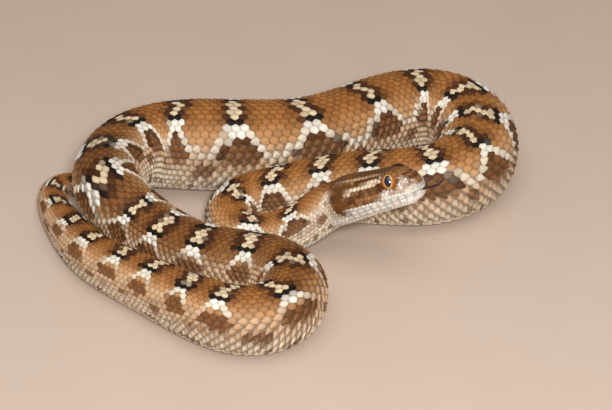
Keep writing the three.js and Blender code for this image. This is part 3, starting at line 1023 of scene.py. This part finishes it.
# The skin: one closed tube from the snout to the tip of the tail.
SKIN_SIDES = 96
HEAD_RINGS = 96
BODY_RINGS = 330
SKIN_DEPTH_SHARE = 0.92
BARE_SPOT = (0.6, 0.5)
to_neck = np.linspace(0, profile_s[np.searchsorted(profile_g, 0)], 2000)
head_steps = np.interp(to_neck, profile_s, profile_g)
head_rings = np.interp(np.arange(0, 1.0001, 1 / HEAD_RINGS), np.linspace(0, 1, 2000), head_steps)
body_rings = np.linspace(1.2, BODY_LENGTH, BODY_RINGS)
rings = np.r_[head_rings, body_rings]
bm = bmesh.new()
bmesh.ops.create_grid(bm, x_segments=len(rings) - 1, y_segments=SKIN_SIDES, size=0.5)
bm.verts.index_update()
grid = np.array([v.co for v in bm.verts])
i = np.round((grid[:, 0] + 0.5) * (len(rings) - 1)).astype(int)
q = np.round((grid[:, 1] + 0.5) * SKIN_SIDES) / SKIN_SIDES * 2 - 1
g = rings[i]
depth = COAT_DEPTH_SHARE * pitch(g) * SKIN_DEPTH_SHARE
depth = np.where(np.abs(q) > EDGE, depth * BELLY_THINNER, depth)
local = head_local(np.maximum(-g, -3), q)
in_lip = (g < -(HEAD_LENGTH - MOUTH_LENGTH)) & (np.abs(local[:, 2] - lip_level(-g)) < 0.22)
depth = depth + np.where(in_lip, 0.3, 0)
points = placed(g, q, -depth)
for end in (0, len(rings) - 1):
    points[i == end] = points[i == end].mean(0)
for side in (-1.0, 1.0):
    look, _, _, centre = eye_axes(side)
    eye_at = in_head(centre)
    turned = look @ HEAD_TURN.T
    v = points - eye_at
    h = v @ turned
    flat = v - h[:, None] * turned
    r = np.linalg.norm(flat, axis=1)
    near = (h > 0) & (r < EYE_FOLD) & (g < 0)
    rim_h = np.sqrt(np.maximum(EYE_RADIUS**2 - np.minimum(r, 2.6) ** 2, 0)) - 0.16 - 0.5 * smooth(2.0, 1.6, r)
    new_h = rim_h + (h - rim_h) * smooth(EYE_OPEN, EYE_FOLD, r)
    points = np.where(near[:, None], eye_at + flat + turned * new_h[:, None], points)
points[:, 2] = np.maximum(points[:, 2], FLOOR_CLEAR * 4)
for v, p in zip(bm.verts, points * MM):
    v.co = p
fields = {**fields_at(g, q), "tone": np.full(len(g), 0.5)}
layers = {name: bm.verts.layers.float.new(name) for name in fields}
for name, values in fields.items():
    for v, value in zip(bm.verts, values):
        v[layers[name]] = float(value)
uv = bm.loops.layers.uv.new("Plate")
flat_uv = bm.loops.layers.uv.new("OFBake")
for face in bm.faces:
    for loop in face.loops:
        n = loop.vert.index
        loop[uv].uv = BARE_SPOT
        loop[flat_uv].uv = (0.01 + 0.98 * i[n] / (len(rings) - 1), 0.5 + 0.49 * q[n])
bmesh.ops.remove_doubles(bm, verts=bm.verts, dist=1e-7)
skin = shown("skin", mesh_of(bm, "skin"), bare_skin)
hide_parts(*FLESH)

# Eyes: a ball with a gold ring round an upright slit.
eye_material, w, shader = new_material("viper_eye")
iris_map = w.nodes.new("ShaderNodeUVMap")
iris_map.uv_map = "Iris"
split = w.nodes.new("ShaderNodeSeparateXYZ")
w.feed(split.inputs[0], iris_map.outputs[0])
x, y = Signal(w, split.outputs[0]), Signal(w, split.outputs[1])
slit = w.math("POWER", w.size_of(x / 0.98), 1.7) + w.math("POWER", w.size_of(y / 1.66), 1.7)
far = w.math("SQRT", x * x + y * y)
grit = w.noise(iris_map.outputs[0], 3.2, 4.0)
iris = w.tint(w.step(0.35, 0.7, grit), paint("8c4c1f"), paint("b06a30"))
# Painted shade: the outer iris darkens towards the lids, as the socket shades the ball.
iris = w.tint(w.step(1.55, 2.25, far) * 0.75, iris, paint("5e2f12"))
gold = w.step(1.6, 1.2, slit)
iris = w.tint(gold, iris, paint("e0a343"))
# The slit is near black, tinted deep blue as a painted reflection on the eye.
iris = w.tint(w.step(1.12, 0.98, slit), iris, paint("0a0d26"))
w.feed(shader.inputs["Base Color"], iris)
w.feed(shader.inputs["Roughness"], 0.12 + grit * 0.05)
shader.inputs["Coat Weight"].default_value = 1.0
shader.inputs["Coat Roughness"].default_value = 0.03
shader.inputs["Specular IOR Level"].default_value = 0.5
SLIT_LEAN = math.radians(8)
for side, node in ((-1.0, "eye_right"), (1.0, "eye_left")):
    centre = eye_axes(side)[3]
    bm = bmesh.new()
    bmesh.ops.create_uvsphere(bm, u_segments=48, v_segments=32, radius=EYE_RADIUS - 0.01)
    lean = SLIT_LEAN * -side
    look = unit(np.array([0.32, side * 0.88, 0.34]))
    up = unit(np.array([0.0, 0, 1]) - look * look[2])
    fore = np.cross(up, look)
    tall = up * math.cos(lean) + fore * math.sin(lean)
    wide = fore * math.cos(lean) - up * math.sin(lean)
    uv = bm.loops.layers.uv.new("Iris")
    for face in bm.faces:
        for loop in face.loops:
            c = np.array(loop.vert.co)
            # The ball's own pole looks out of the head.
            loop[uv].uv = (c[0], c[1]) if c[2] > 0 else (3.0, 3.0)
    for v in bm.verts:
        c = np.array(v.co)
        v.co = in_head(centre + wide * c[0] + tall * c[1] + look * c[2]) * MM
    ball = shown(node + "_ball", mesh_of(bm, node + "_ball"), eye_material)
    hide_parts(node)

# Nostrils: a dark spot on each side of the snout, painted shade standing in for the opening.
nostril_shade_material = mottled("nostril_hole_shade", 900.0, "1c0f0a", "3a2118", roughness=0.6)
NOSTRIL_AHEAD = 25.1
NOSTRIL_RISE = 2.5
NOSTRIL_SIZE = (0.36, 0.26, 0.1)
for side, name in ((-1.0, "right"), (1.0, "left")):
    x = np.array([NOSTRIL_AHEAD])
    q = around_at(x, np.array([NOSTRIL_RISE]), side)
    at = placed(-x, q, np.array([-0.05]))[0]
    out = unit(placed(-x, q, np.array([1.0]))[0] - placed(-x, q, np.array([0.0]))[0])
    level = unit(HEAD_TURN[:, 0] - out * (HEAD_TURN[:, 0] @ out))
    across = np.cross(out, level)
    bm = bmesh.new()
    bmesh.ops.create_uvsphere(bm, u_segments=16, v_segments=10, radius=1)
    for v in bm.verts:
        c = np.array(v.co) * NOSTRIL_SIZE
        v.co = (at + level * c[0] + across * c[1] + out * c[2]) * MM
    shown("nostril_" + name, mesh_of(bm, "nostril_" + name), nostril_shade_material)

# The tongue keeps its own solid.
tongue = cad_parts["tongue"]
tongue.data.materials.clear()
tongue.data.materials.append(mottled("moist_tongue", 700.0, "1c0608", "421012", roughness=0.25))

# Floor, light and camera.
bm = bmesh.new()
bmesh.ops.create_grid(bm, x_segments=2, y_segments=2, size=3.0)
mesh = bpy.data.meshes.new("floor")
bm.to_mesh(mesh)
bm.free()
floor = put("floor", mesh)
mesh.materials.append(mottled("pale_floor", 30.0, "b9a493", "c0ab9b", roughness=0.95))

world = bpy.data.worlds.new("studio")
world.use_nodes = True
world.node_tree.nodes["Background"].inputs[0].default_value = (1.0, 0.985, 0.965, 1)
world.node_tree.nodes["Background"].inputs[1].default_value = 0.33
bpy.context.scene.world = world

TARGET = np.array([-FLOOR_CENTRE[0], -FLOOR_CENTRE[1], 0]) * MM
DISTANCE = 0.6
SENSOR_WIDTH = 36
IMAGE_WIDTH = 612
PIXELS_PER_SLOPE = 2100
ELEVATION = math.radians(35)


def lamp(name, at, size, power):
    """A square lamp that shines at the middle of the coil."""
    data = bpy.data.lights.new(name, "AREA")
    data.energy = power
    data.size = size
    lit = put(name, data)
    lit.location = at
    lit.rotation_euler = Vector(TARGET - np.array(at)).to_track_quat("-Z", "Y").to_euler()


lamp("flash", (0.04, -0.48, 0.38), 0.08, 3.5)
lamp("soft_top", (0.0, -0.2, 0.8), 0.7, 2.6)

camera_data = bpy.data.cameras.new("camera")
camera_data.sensor_width = SENSOR_WIDTH
camera_data.lens = SENSOR_WIDTH * PIXELS_PER_SLOPE / IMAGE_WIDTH
camera_data.clip_start = 0.01
camera = put("camera", camera_data)
camera.location = TARGET + DISTANCE * np.array([0, -math.cos(ELEVATION), math.sin(ELEVATION)])
camera.rotation_euler = (math.pi / 2 - ELEVATION, 0, 0)
bpy.context.scene.camera = camera
bpy.context.scene.view_settings.view_transform = "Standard"
